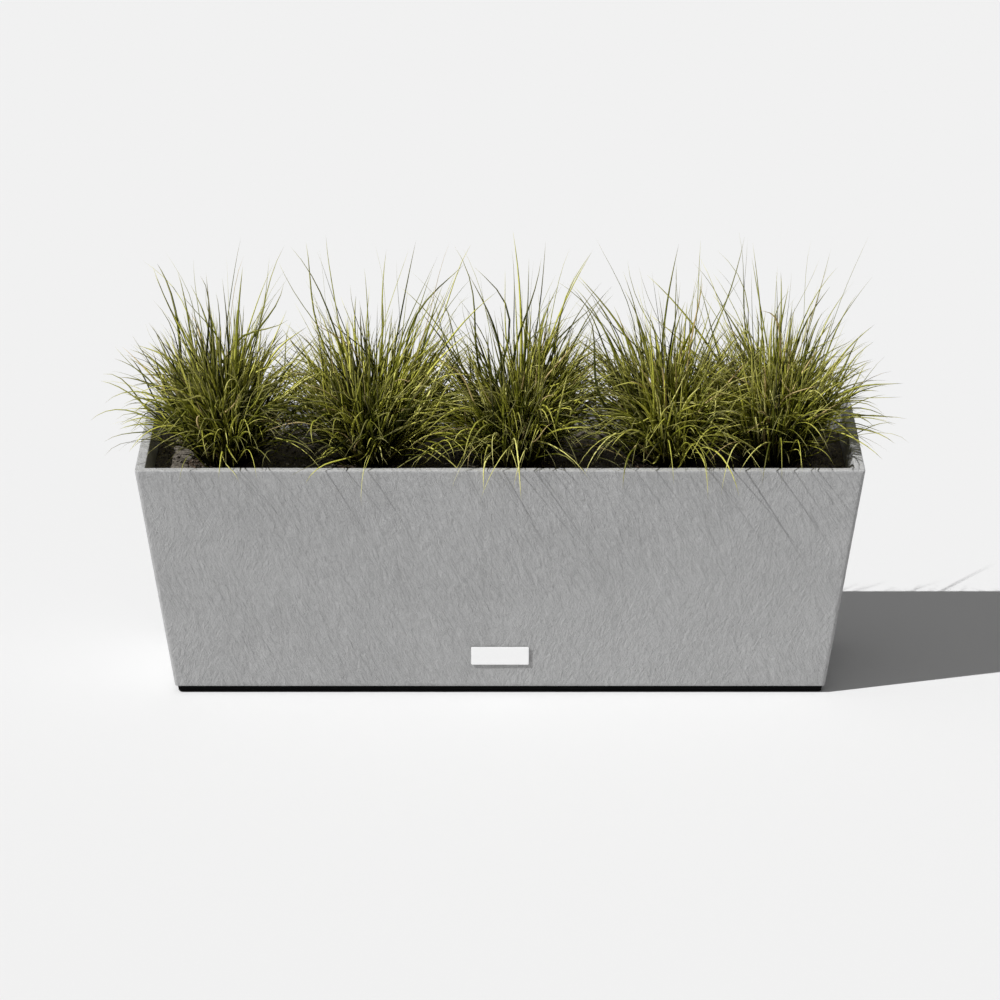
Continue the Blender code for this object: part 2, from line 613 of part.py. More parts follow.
def make_grass():
    """The outline of each tussock of arching blades, reshaped from a sphere."""
    sides, rings = 16, 9
    for number, (x, reach_left, reach_right) in enumerate(TUSSOCKS, 1):
        work = bmesh.new()
        bmesh.ops.create_uvsphere(work, u_segments=sides, v_segments=rings + 1, radius=1.0)
        height = GRASS_TOP - SOIL_TOP - GAP
        for vert in work.verts:
            ring = round((1 - math.acos(max(-1.0, min(1.0, vert.co.z))) / math.pi) * (rings + 1))
            share = max(0, min(1, (ring - 1) / (rings - 1)))
            flat = Vector((vert.co.x, vert.co.y, 0.0))
            direction = flat.normalized() if flat.length > 0.001 else Vector()
            reach_x = reach_right if direction.x > 0 else reach_left
            reach_y = REACH_Y + (PLANT_Y if direction.y < 0 else -PLANT_Y)
            opened = spread(share)
            reach = Vector((direction.x * reach_x, direction.y * reach_y, 0.0))
            base = direction * TUSSOCK_BASE
            vert.co = base.lerp(reach, opened) + Vector((0.0, 0.0, height * share))
        place = Matrix.Translation((x, PLANT_Y, SOIL_TOP + GAP))
        mesh = mesh_from(work, f"grass_clump_{number}")
        smooth(mesh)
        add_part(f"grass_clump_{number}", mesh, "grass", place)


make_shell()
make_plinth()
make_label()
make_platform()
make_cups()
make_fleece()
make_fill_cap(*make_fill_tube())
make_gauge()
make_drain()
make_soil()
make_grass()
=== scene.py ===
import json
import math

import bmesh
import bpy
import numpy as np
from mathutils import Matrix, Vector, noise


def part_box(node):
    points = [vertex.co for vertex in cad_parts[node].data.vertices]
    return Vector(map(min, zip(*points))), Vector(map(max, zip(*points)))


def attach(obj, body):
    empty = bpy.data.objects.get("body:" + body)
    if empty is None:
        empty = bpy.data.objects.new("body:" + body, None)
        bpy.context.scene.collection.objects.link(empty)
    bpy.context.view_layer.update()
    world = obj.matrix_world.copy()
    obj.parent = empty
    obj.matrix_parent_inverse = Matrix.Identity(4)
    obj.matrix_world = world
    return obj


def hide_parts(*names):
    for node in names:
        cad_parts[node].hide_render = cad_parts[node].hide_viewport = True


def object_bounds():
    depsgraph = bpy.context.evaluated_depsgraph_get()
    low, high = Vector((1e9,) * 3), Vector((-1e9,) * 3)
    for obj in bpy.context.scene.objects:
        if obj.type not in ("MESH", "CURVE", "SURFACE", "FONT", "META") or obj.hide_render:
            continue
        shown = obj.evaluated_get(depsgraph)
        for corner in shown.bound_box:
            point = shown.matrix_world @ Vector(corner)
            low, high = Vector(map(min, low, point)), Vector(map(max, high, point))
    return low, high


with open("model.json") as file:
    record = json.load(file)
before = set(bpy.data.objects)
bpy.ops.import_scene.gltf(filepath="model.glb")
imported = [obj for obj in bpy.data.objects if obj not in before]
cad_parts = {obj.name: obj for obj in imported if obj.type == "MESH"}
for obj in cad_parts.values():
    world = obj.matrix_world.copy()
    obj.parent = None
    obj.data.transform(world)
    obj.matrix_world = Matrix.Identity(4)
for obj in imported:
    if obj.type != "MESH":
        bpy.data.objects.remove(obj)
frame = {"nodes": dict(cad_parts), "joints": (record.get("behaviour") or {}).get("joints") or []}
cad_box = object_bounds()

# ---- sizes, in metres ----------------------------------------------------------------------
SHELL_LOW, SHELL_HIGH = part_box("outer_shell")
HALF_LENGTH, HALF_WIDTH = SHELL_HIGH[0], SHELL_HIGH[1]
RIM_Z = SHELL_HIGH[2]
SHELL_BOTTOM = SHELL_LOW[2]
SIDE_TAPER = 0.0376          # how far each side leans in over the shell's height
WALL = 0.011
BOTTOM_THICKNESS = 0.008
SOIL_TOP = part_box("root_ball_1")[1][2]
LEAN = SIDE_TAPER / (RIM_Z - SHELL_BOTTOM)
CLUMPS = range(1, 6)
SIDES = ("left", "centre", "right")


def new_object(name, data):
    """An object with this data, linked into the scene."""
    item = bpy.data.objects.new(name, data)
    bpy.context.scene.collection.objects.link(item)
    return item


def middle(node):
    """The middle of a CAD node's box."""
    low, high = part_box(node)
    return [(a + b) / 2 for a, b in zip(low, high)]


def half_sizes(z, inset=0.0):
    """Half length and half width of the shell's outside at a height, less an inset."""
    lean = LEAN * (RIM_Z - z)
    return HALF_LENGTH - lean - inset, HALF_WIDTH - lean - inset


# ---- camera, light and floor ---------------------------------------------------------------
CAMERA_DISTANCE = 5.81
CAMERA_HEIGHT = 2.063
CAMERA_PITCH = 17.81
CAMERA_LENS = 196.1
SUN_TRAVEL = (0.86, 0.48, -1.0)
SUN_STRENGTH = 3.92
SUN_WIDTH = 0.6              # degrees across
SKY_LOW, SKY_HIGH = 0.03, 0.30
FLOOR_GREY = 0.80
FLOOR_HALF = 60.0


def make_camera():
    """A long lens in front of the planter, looking a little down on it."""
    data = bpy.data.cameras.new("camera")
    data.lens = CAMERA_LENS
    data.sensor_width = 36.0
    data.clip_end = 200.0
    camera = new_object("camera", data)
    camera.location = (0.0, -CAMERA_DISTANCE, CAMERA_HEIGHT)
    camera.rotation_euler = (math.radians(90.0 - CAMERA_PITCH), 0.0, 0.0)
    bpy.context.scene.camera = camera


def make_light():
    """A hard sun from the front left, and a grey sky that is brighter overhead."""
    data = bpy.data.lights.new("sun", "SUN")
    data.energy = SUN_STRENGTH
    data.angle = math.radians(SUN_WIDTH)
    sun = new_object("sun", data)
    sun.rotation_euler = Vector(SUN_TRAVEL).to_track_quat("-Z", "Y").to_euler()

    world = bpy.data.worlds.new("studio")
    world.use_nodes = True
    bpy.context.scene.world = world
    tree = world.node_tree
    place = tree.nodes.new("ShaderNodeTexCoord")
    parts = tree.nodes.new("ShaderNodeSeparateXYZ")
    ramp = tree.nodes.new("ShaderNodeValToRGB")
    tree.links.new(place.outputs["Generated"], parts.inputs[0])
    tree.links.new(parts.outputs["Z"], ramp.inputs["Fac"])
    tree.links.new(ramp.outputs["Color"], tree.nodes["Background"].inputs["Color"])
    for end, position, grey in zip(ramp.color_ramp.elements, (0.0, 1.0), (SKY_LOW, SKY_HIGH)):
        end.position = position
        end.color = (grey, grey, grey, 1.0)


def make_floor():
    """The plain pale ground."""
    mesh = bpy.data.meshes.new("floor")
    work = bmesh.new()
    bmesh.ops.create_grid(work, x_segments=1, y_segments=1, size=FLOOR_HALF)
    work.to_mesh(mesh)
    work.free()
    floor = new_object("floor", mesh)
    material = bpy.data.materials.new("floor")
    material.use_nodes = True
    shader = material.node_tree.nodes["Principled BSDF"]
    shader.inputs["Base Color"].default_value = (FLOOR_GREY,) * 3 + (1.0,)
    shader.inputs["Roughness"].default_value = 1.0
    shader.inputs["Specular IOR Level"].default_value = 0.0
    mesh.materials.append(material)


# ---- materials -----------------------------------------------------------------------------
class Surface:
    """A material with one Principled shader, and short calls to wire patterns into it."""

    def __init__(self, name, **sockets):
        self.material = bpy.data.materials.new(name)
        self.material.use_nodes = True
        self.tree = self.material.node_tree
        self.shader = self.tree.nodes["Principled BSDF"]
        for socket, value in sockets.items():
            self.shader.inputs[socket.replace("_", " ")].default_value = value
        self.place = self.add("ShaderNodeTexCoord").outputs["Object"]

    def add(self, kind, inputs=None, **settings):
        """A node with these inputs, each a value or another node's output, and settings."""
        node = self.tree.nodes.new(kind)
        for setting, value in settings.items():
            setattr(node, setting, value)
        for socket, value in (inputs or {}).items():
            if isinstance(value, bpy.types.NodeSocket):
                self.tree.links.new(value, node.inputs[socket])
            else:
                node.inputs[socket].default_value = value
        return node

    def mapped(self, rotation=(0.0, 0.0, 0.0), scale=(1.0, 1.0, 1.0), place=None):
        """A place scaled and then turned by degrees."""
        angles = [math.radians(angle) for angle in rotation]
        return self.add("ShaderNodeMapping", {"Vector": place or self.place, "Rotation": angles,
                                              "Scale": scale}).outputs["Vector"]

    def noise(self, scale, detail=3.0, roughness=0.55, place=None, kind="FBM", distortion=0.0):
        inputs = {"Vector": place or self.place, "Scale": scale, "Detail": detail,
                  "Roughness": roughness, "Distortion": distortion}
        return self.add("ShaderNodeTexNoise", inputs, noise_type=kind).outputs["Fac"]

    def cells(self, scale, output="Distance"):
        inputs = {"Vector": self.place, "Scale": scale}
        return self.add("ShaderNodeTexVoronoi", inputs).outputs[output]

    def math(self, operation, first, second=0.0):
        return self.add("ShaderNodeMath", {0: first, 1: second}, operation=operation).outputs[0]

    def ramp(self, value, *stops):
        """A colour ramp through (position, colour) stops; a colour may be one grey number."""
        node = self.add("ShaderNodeValToRGB", {"Fac": value})
        ends = node.color_ramp.elements
        while len(ends) < len(stops):
            ends.new(0.5)
        for end, (position, colour) in zip(ends, stops):
            end.position = position
            end.color = (colour,) * 3 + (1.0,) if isinstance(colour, float) else (*colour, 1.0)
        return node.outputs["Color"]

    def mix(self, factor, first, second, blend="MIX"):
        """Two colours mixed; each is an output or an (r, g, b) value."""
        node = self.add("ShaderNodeMix", {"Factor": factor}, data_type="RGBA", blend_type=blend)
        for socket, value in ((node.inputs[6], first), (node.inputs[7], second)):
            if isinstance(value, bpy.types.NodeSocket):
                self.tree.links.new(value, socket)
            else:
                socket.default_value = (*value, 1.0)
        return node.outputs[2]

    def times(self, first, second):
        return self.mix(1.0, first, second, "MULTIPLY")

    def colour(self, value):
        self.tree.links.new(value, self.shader.inputs["Base Color"])

    def rough(self, value):
        self.tree.links.new(value, self.shader.inputs["Roughness"])

    def bump(self, height, distance, strength=1.0, under=None):
        """Relief of a height pattern, laid over another bump's normals if given."""
        inputs = {"Height": height, "Distance": distance, "Strength": strength}
        if under:
            inputs["Normal"] = under
        normal = self.add("ShaderNodeBump", inputs).outputs["Normal"]
        self.tree.links.new(normal, self.shader.inputs["Normal"])
        return normal


def stone():
    """Filled composite cast with a slate-like skin: slanting ridges and creases on a fine grain,
    with painted shade in the creases and a painted highlight on the rim's top.

    The pattern's places are turned 45 degrees about Z, so that it is alike on all four sides.
    """
    look = Surface("stone_composite", Roughness=0.9, Specular_IOR_Level=0.25)
    parts = look.add("ShaderNodeSeparateXYZ", {0: look.place}).outputs
    along = look.math("ADD", parts["X"], parts["Y"])
    across = look.math("SUBTRACT", parts["X"], parts["Y"])
    skew = {"X": along, "Y": parts["Z"], "Z": across}
    flat = look.add("ShaderNodeCombineXYZ", skew).outputs["Vector"]
    falling = look.mapped(scale=(0.34, 1.0, 0.5), place=look.mapped((0, 0, 54), place=flat))
    rising = look.mapped(scale=(0.40, 1.0, 0.5), place=look.mapped((0, 0, -72), place=flat))
    first = look.noise(190.0, 5.0, 0.70, falling, distortion=0.6)
    second = look.noise(210.0, 5.0, 0.70, rising, distortion=0.6)
    swap = look.ramp(look.noise(6.0, 2.0), (0.50, 0.0), (0.60, 1.0))
    ridges = look.mix(swap, first, second)
    leather = look.noise(60.0, 5.0, 0.6, falling, distortion=0.8)
    grain = look.noise(600.0, 3.0, 0.7)
    clouds = look.noise(9.0, 4.0, 0.6)
    tone = look.ramp(clouds, (0.30, 0.405), (0.70, 0.445))
    speck = look.ramp(grain, (0.30, 0.88), (0.70, 1.10))
    # Painted shade: the colour is darker in the creases of the ridge pattern that also drives the
    # relief.
    creases = look.ramp(ridges, (0.30, 0.90), (0.60, 1.03))
    shade = look.times(look.times(tone, speck), creases)
    # Painted highlight: the top of the rim is lightened 1.22 times.
    painted_rim_highlight = look.ramp(parts["Z"], (RIM_Z - 0.0012, 1.0), (RIM_Z - 0.0004, 1.22))
    look.colour(look.times(shade, painted_rim_highlight))
    look.rough(look.ramp(grain, (0.3, 0.82), (0.7, 0.96)))
    height = look.math("ADD", ridges, look.math("MULTIPLY", leather, 1.1))
    coarse = look.bump(height, 0.0020)
    look.bump(grain, 0.00035, 0.8, coarse)
    return look.material


def moulded(name, colour, roughness=0.5, texture=1400.0, shine=0.5):
    """Moulded plastic with a fine spark-eroded texture and slightly uneven gloss."""
    look = Surface(name, Roughness=roughness, Specular_IOR_Level=shine)
    skin = look.noise(texture, 2.0, 0.6)
    handling = look.noise(35.0, 4.0, 0.6)
    dark = tuple(channel * 0.85 for channel in colour)
    light = tuple(min(1.0, channel * 1.15 + 0.001) for channel in colour)
    look.colour(look.ramp(handling, (0.3, dark), (0.7, light)))
    look.rough(look.ramp(handling, (0.3, roughness - 0.08), (0.7, roughness + 0.10)))
    look.bump(skin, 0.00008, 0.6)
    return look.material


def brushed_steel():
    """Stainless steel with fine lines."""
    look = Surface("steel", Metallic=1.0, Roughness=0.32)
    lines = look.noise(700.0, 3.0, 0.6, look.mapped(scale=(1.0, 1.0, 0.1)))
    look.colour(look.ramp(lines, (0.3, (0.50, 0.50, 0.51)), (0.7, (0.66, 0.66, 0.67))))
    look.rough(look.ramp(lines, (0.3, 0.24), (0.7, 0.42)))
    look.bump(lines, 0.00003, 0.4)
    return look.material


def clear_plastic():
    """Clear acrylic, slightly handled."""
    look = Surface("clear_plastic", Transmission_Weight=1.0, IOR=1.49, Roughness=0.04)
    look.colour(look.ramp(look.noise(40.0), (0.3, (0.93, 0.96, 0.96)), (0.7, (0.97, 0.99, 0.99))))
    look.rough(look.ramp(look.noise(120.0), (0.4, 0.02), (0.8, 0.10)))
    return look.material


def float_foam():
    """Beads of pale closed-cell foam, pressed together."""
    look = Surface("float_foam", Roughness=0.9)
    beads = look.cells(520.0)
    look.colour(look.ramp(beads, (0.1, (0.86, 0.80, 0.60)), (0.7, (0.72, 0.64, 0.42))))
    look.bump(beads, 0.0003, 0.5)
    return look.material


def fleece_cloth():
    """Needled filter fleece: a felted tangle with no weave."""
    look = Surface("filter_fleece", Roughness=0.97, Sheen_Weight=0.25)
    felt = look.noise(800.0, 4.0, 0.7, distortion=1.5)
    blotch = look.noise(30.0, 3.0)
    look.colour(look.mix(look.ramp(felt, (0.3, 0.0), (0.7, 1.0)), (0.56, 0.56, 0.52),
                         look.ramp(blotch, (0.3, (0.66, 0.66, 0.62)), (0.7, (0.75, 0.75, 0.71)))))
    look.bump(felt, 0.0005, 0.8)
    return look.material


def potting_soil():
    """Dark peaty mix with grey-brown crumbs and a few pale grains."""
    look = Surface("potting_soil", Roughness=0.95, Specular_IOR_Level=0.2)
    crumbs = look.cells(260.0)
    fine = look.noise(700.0, 4.0, 0.7)
    patches = look.noise(28.0, 4.0, 0.6)
    base = look.ramp(patches, (0.30, (0.085, 0.070, 0.052)), (0.70, (0.155, 0.135, 0.110)))
    base = look.mix(look.ramp(fine, (0.35, 0.0), (0.75, 1.0)), base, (0.22, 0.20, 0.17))
    pale = look.ramp(look.cells(420.0, output="Color"), (0.90, 0.0), (0.93, 1.0))
    look.colour(look.mix(pale, base, (0.42, 0.39, 0.34)))
    coarse = look.bump(crumbs, 0.0015, 0.9)
    look.bump(fine, 0.0008, 0.8, coarse)
    return look.material


def root_mat():
    """A tight mat of pale roots over dark compost."""
    look = Surface("roots", Roughness=0.95)
    strands = look.noise(190.0, 4.0, 0.65, look.mapped(scale=(1.0, 1.0, 0.35)),
                         "RIDGED_MULTIFRACTAL", 1.2)
    look.colour(look.ramp(strands, (0.25, (0.075, 0.050, 0.032)), (0.50, (0.20, 0.14, 0.085)),
                          (0.80, (0.46, 0.37, 0.25))))
    look.bump(strands, 0.0010, 0.9)
    return look.material


def grass_blades():
    """Yellow-olive blades, each with its own tone, with painted shade darkening them towards the
    base, and paler at the tip.
    """
    look = Surface("grass", Roughness=0.65, Specular_IOR_Level=0.2)
    values = look.add("ShaderNodeAttribute", attribute_name="blade").outputs["Color"]
    parts = look.add("ShaderNodeSeparateColor", {0: values}).outputs
    tone, along, dry = parts[0], parts[1], parts[2]
    green = look.ramp(tone, (0.0, (0.014, 0.017, 0.001)), (0.25, (0.052, 0.060, 0.005)),
                      (0.50, (0.190, 0.200, 0.018)), (0.80, (0.560, 0.550, 0.085)),
                      (1.0, (0.780, 0.750, 0.260)))
    tipped = look.mix(look.ramp(along, (0.70, 0.0), (1.0, 0.45)), green, (0.62, 0.56, 0.25))
    dead = look.mix(look.ramp(dry, (0.45, 0.0), (0.55, 1.0)), tipped, (0.56, 0.43, 0.20))
    # Painted shade: each blade is darkened towards its base, where the tussock's core lies in
    # shade, and brightened 1.2 times higher up.
    with_painted_base_shade = look.times(dead, look.ramp(along, (0.0, 0.06), (0.28, 0.38), (0.62, 1.20)))
    veins = look.noise(420.0, 3.0, 0.6, look.mapped(scale=(1.0, 1.0, 0.25)))
    look.colour(look.times(with_painted_base_shade, look.ramp(veins, (0.3, 0.78), (0.7, 1.15))))
    look.rough(look.ramp(veins, (0.3, 0.55), (0.7, 0.75)))
    look.bump(veins, 0.0001, 0.5)
    return look.material


def white_label():
    """White enamel."""
    look = Surface("label_white", Roughness=0.40)
    paint = look.noise(60.0, 4.0, 0.6)
    look.colour(look.ramp(paint, (0.3, (0.985, 0.985, 0.985)), (0.7, (1.0, 1.0, 1.0))))
    look.rough(look.ramp(paint, (0.3, 0.42), (0.7, 0.55)))
    look.bump(look.noise(900.0, 2.0), 0.00003, 0.4)
    return look.material


# ---- mesh helpers --------------------------------------------------------------------------
def add_piece(name, mesh, material, slot, body, *nodes):
    """Put a piece on its body, in place of its CAD nodes."""
    piece = new_object(name, mesh)
    mesh.materials.clear()
    mesh.materials.append(material)
    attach(piece, body)
    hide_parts(*nodes)
    return piece


def mesh_of(name, verts, faces):
    mesh = bpy.data.meshes.new(name)
    mesh.from_pydata([tuple(v) for v in verts], [], [tuple(f) for f in faces])
    mesh.update()
    return mesh


def mesh_of_arrays(name, verts, triangles):
    """A mesh from arrays of points and triangles, for meshes of many small bodies."""
    mesh = bpy.data.meshes.new(name)
    mesh.vertices.add(len(verts))
    mesh.vertices.foreach_set("co", verts.reshape(-1).astype(np.float32))
    mesh.loops.add(len(triangles) * 3)
    mesh.loops.foreach_set("vertex_index", triangles.reshape(-1).astype(np.int32))
    mesh.polygons.add(len(triangles))
    starts = np.arange(0, len(triangles) * 3, 3, dtype=np.int32)
    mesh.polygons.foreach_set("loop_start", starts)
    mesh.update(calc_edges=True)
    mesh.validate()
    return mesh


def displace(mesh, offset):
    """Move each point of a mesh by offset(point, normal), and shade it smooth."""
    points = [(vert.co.copy(), vert.normal.copy()) for vert in mesh.vertices]
    moved = np.array([point + offset(point, normal) for point, normal in points])
    mesh.vertices.foreach_set("co", moved.reshape(-1).astype(np.float32))
    mesh.update()
    mesh.shade_smooth()


def settle(piece):
    """Apply a piece's modifiers to its mesh."""
    graph = bpy.context.evaluated_depsgraph_get()
    old = piece.data
    piece.data = bpy.data.meshes.new_from_object(piece.evaluated_get(graph))
    piece.modifiers.clear()
    bpy.data.meshes.remove(old)


def add_cylinder(work, radius, depth, matrix, segments=48):
    """A closed cylinder in a bmesh, along the matrix's Z."""
    bmesh.ops.create_cone(work, cap_ends=True, segments=segments, radius1=radius, radius2=radius,
                          depth=depth, matrix=matrix)


def cut(piece, work):
    """Cut a piece with the closed bodies in a bmesh, which is used up."""
    mesh = bpy.data.meshes.new("cutter")
    work.to_mesh(mesh)
    work.free()
    cutter = new_object("cutter", mesh)
    step = piece.modifiers.new("holes", "BOOLEAN")
    step.object = cutter
    step.solver = "MANIFOLD"
    settle(piece)
    bpy.data.objects.remove(cutter, do_unlink=True)


def rounded_loop(half_x, half_y, corner, along_x, along_y, along_corner):
    """Points round a rectangle with rounded corners, the same number for every size."""
    points = []
    centres = [(1, 1), (-1, 1), (-1, -1), (1, -1)]
    for quarter, (sx, sy) in enumerate(centres):
        start = quarter * math.pi / 2
        cx, cy = sx * (half_x - corner), sy * (half_y - corner)
        for step in range(along_corner):
            angle = start + math.pi / 2 * step / along_corner
            points.append((cx + corner * math.cos(angle), cy + corner * math.sin(angle)))
        ends = start + math.pi / 2
        here = (cx + corner * math.cos(ends), cy + corner * math.sin(ends))
        nx, ny = centres[(quarter + 1) % 4]
        there = (nx * (half_x - corner) + corner * math.cos(ends),
                 ny * (half_y - corner) + corner * math.sin(ends))
        count = along_x if quarter % 2 == 0 else along_y
        for step in range(count):
            share = step / count
            points.append((here[0] + (there[0] - here[0]) * share,
                           here[1] + (there[1] - here[1]) * share))
    return points


# ---- shell ---------------------------------------------------------------------------------
EDGE = 0.0010                # radius of the rim's and the foot's edges
OUTSIDE_ROWS, RIM_ROWS, INSIDE_ROWS, BURIED_ROWS = 90, 5, 13, 8
LOOP_STEPS = (258, 84, 5)    # points along a long side, a short side and a corner
CORNER_OUTSIDE, CORNER_INSIDE = 0.004, 0.002
DRAIN_HOLE = 0.0103          # radii of the holes
SCREW_HOLE = 0.0023
SCREW_HOLE_SPARE = 0.0004    # how far a screw hole goes past the screw's tip


def shell_profile():
    """(inset, height) rows from the outside bottom edge, up, over the rim and down the inside."""
    bends = (0.5, 1.05)
    rows = [(EDGE, SHELL_BOTTOM), (EDGE * 0.3, SHELL_BOTTOM + EDGE * 0.3)]
    rows += [(0.0, z) for z in np.linspace(SHELL_BOTTOM + EDGE, RIM_Z - EDGE, OUTSIDE_ROWS)]
    rows += [(EDGE * (1 - math.cos(a)), RIM_Z - EDGE * (1 - math.sin(a))) for a in bends]
    rows += [(inset, RIM_Z) for inset in np.linspace(EDGE, WALL - EDGE, RIM_ROWS)]
    rows += [(WALL - EDGE * (1 - math.sin(a)), RIM_Z - EDGE * (1 - math.cos(a))) for a in bends]
    rows += [(WALL, z) for z in np.linspace(RIM_Z - EDGE, SOIL_TOP - 0.006, INSIDE_ROWS)]
    floor_top = SHELL_BOTTOM + BOTTOM_THICKNESS
    rows += [(WALL, z) for z in np.linspace(SOIL_TOP - 0.02, floor_top, BURIED_ROWS)]
    return rows


def shell_relief(point, normal):
    """Low slanting ridges and a slight swell, everywhere but the bottom and below the soil."""
    x, y, z = point
    half_x, half_y = half_sizes(z, WALL / 2)
    buried = z < SOIL_TOP - 0.01 and abs(x) < half_x and abs(y) < half_y
    if z < SHELL_BOTTOM + 0.0005 or buried:
        return Vector()
    spot = Vector((x + y, z, x - y))
    slant = Vector((spot.x * 0.5 + spot.y * 0.85, spot.y * 0.5 - spot.x * 0.85, spot.z))
    relief = noise.fractal(Vector((slant.x * 160, slant.y * 60, slant.z * 60)), 0.8, 2.1, 3)
    return normal * (0.00013 * relief + 0.00025 * noise.noise(spot * 9.0))


def make_shell(material):
    """The trough as one closed loft, with low ridges raised in its faces."""
    rows = shell_profile()
    verts = []
    for inset, z in rows:
        corner = CORNER_OUTSIDE - (CORNER_OUTSIDE - CORNER_INSIDE) * min(1.0, inset / WALL)
        loop = rounded_loop(*half_sizes(z, inset), corner, *LOOP_STEPS)
        verts += [(x, y, z) for x, y in loop]
    columns = len(verts) // len(rows)
    faces = []
    for row in range(len(rows) - 1):
        for column in range(columns):
            after = (column + 1) % columns
            faces.append((row * columns + column, row * columns + after,
                          (row + 1) * columns + after, (row + 1) * columns + column))
    last = (len(rows) - 1) * columns
    faces.append(list(range(columns))[::-1])
    faces.append([last + column for column in range(columns)])
    mesh = mesh_of("shell_skin", verts, faces)
    displace(mesh, shell_relief)

    shell = add_piece("stone_shell", mesh, material, "stone_composite", "planter", "outer_shell")
    cut_holes(shell)


def cut_holes(shell):
    """The drain's hole through the end wall and the four screw holes from below."""
    work = bmesh.new()
    pull = next(joint for joint in frame["joints"] if joint["name"] == "drain_plug_pull")
    out = Vector(pull["axis"])
    turn = out.normalized().to_track_quat("Z", "Y").to_matrix().to_4x4()
    drain = Matrix.Translation(middle("drain_washer"))
    add_cylinder(work, DRAIN_HOLE, 0.05, drain @ turn)
    low = SHELL_BOTTOM - 0.003
    for number in range(1, 5):
        screw = f"plinth_screw_{number}"
        x, y, _ = middle(screw)
        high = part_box(screw)[1][2] + SCREW_HOLE_SPARE
        centre = Matrix.Translation((x, y, (low + high) / 2))
        add_cylinder(work, SCREW_HOLE, high - low, centre, segments=16)
    cut(shell, work)


# ---- soil, roots and fleece ----------------------------------------------------------------
SOIL_VOXEL, WICK_VOXEL, ROOT_VOXEL = 0.0030, 0.0014, 0.0022
CRUMBS = 6500
FLEECE_THICKNESS = 0.0012
FLEECE_COLUMNS, FLEECE_ROWS = 143, 36
CUP_CUT, FILL_CUT, GAUGE_CUT = 0.0341, 0.0196, 0.0106      # radii of the holes in the fleece


def remeshed(node, name, voxel):
    """A fine copy of a CAD node's mesh, for surface work."""
    copy = new_object(name, frame["nodes"][node].data.copy())
    step = copy.modifiers.new("remesh", "REMESH")
    step.mode = "VOXEL"
    step.voxel_size = voxel
    settle(copy)
    mesh = copy.data
    bpy.data.objects.remove(copy, do_unlink=True)
    return mesh


def soil_relief(point, normal):
    """Lumps and grains on top, and sides pulled in a little from the shell."""
    top = max(0.0, min(1.0, (point.z - (SOIL_TOP - 0.006)) / 0.004))
    lumps = noise.fractal(point * 90.0, 0.9, 2.2, 4)
    if top > 0:
        return Vector((0.0, 0.0, top * (0.0022 * lumps + 0.0010 * noise.noise(point * 420.0))))
    return normal * (-0.0006 - 0.0006 * abs(lumps))


def wick_relief(point, normal):
    """Crumbly sides, pulled in from the cup."""
    return normal * (-0.0003 - 0.0009 * abs(noise.fractal(point * 160.0, 0.9, 2.2, 3)))


def root_relief(point, normal):
    """Strands that run mostly down the sides, pulled in from the soil."""
    strands = abs(noise.fractal(Vector((point.x * 140, point.y * 140, point.z * 45)), 0.8, 2.1, 3))
    return normal * -min(0.0022, 0.0004 + 0.0022 * strands)


def make_soil(material):
    """The potting mix, and the wicks of it down in the cups."""
    mesh = remeshed("soil_bed", "soil_mass", SOIL_VOXEL)
    displace(mesh, soil_relief)
    add_piece("soil_mass", mesh, material, "potting_soil", "planter", "soil_bed")
    for side in SIDES:
        mesh = remeshed(f"soil_wick_{side}", f"wick_soil_{side}", WICK_VOXEL)
        displace(mesh, wick_relief)
        add_piece(f"wick_soil_{side}", mesh, material, "potting_soil", "planter",
                  f"soil_wick_{side}")


def make_crumbs(material):
    """Loose crumbs and grit lying on the soil, more of them small than large."""
    rng = np.random.default_rng(11)
    work = bmesh.new()
    bmesh.ops.create_icosphere(work, subdivisions=1, radius=1.0)
    ball = np.array([vert.co[:] for vert in work.verts])
    triangles = np.array([[vert.index for vert in face.verts] for face in work.faces])
    work.free()

    half_x, half_y = half_sizes(SOIL_TOP, WALL + 0.004)
    size = 0.0006 + 0.0026 * rng.random(CRUMBS) ** 3
    turn = rng.normal(size=(CRUMBS, 3, 3))
    turn, _ = np.linalg.qr(turn)
    scale = size[:, None] * rng.uniform(0.5, 1.0, (CRUMBS, 3))
    rough = ball[None] * rng.uniform(0.85, 1.1, (CRUMBS, len(ball), 1))
    shaped = np.einsum("nij,nvj->nvi", turn, rough * scale[:, None, :])
    place = np.stack([rng.uniform(-half_x, half_x, CRUMBS), rng.uniform(-half_y, half_y, CRUMBS),
                      np.full(CRUMBS, SOIL_TOP + 0.0007)], axis=1)
    verts = (shaped + place[:, None, :]).reshape(-1, 3)
    faces = triangles[None] + (np.arange(CRUMBS) * len(ball))[:, None, None]
    mesh = mesh_of_arrays("soil_crumbs", verts, faces.reshape(-1, 3))
    add_piece("soil_crumbs", mesh, material, "potting_soil", "planter")


def make_root_balls(material):
    """Each tussock's matted roots, sunk in the soil."""
    for number in CLUMPS:
        mesh = remeshed(f"root_ball_{number}", f"root_mat_{number}", ROOT_VOXEL)
        displace(mesh, root_relief)
        add_piece(f"root_mat_{number}", mesh, material, "roots", "planter", f"root_ball_{number}")


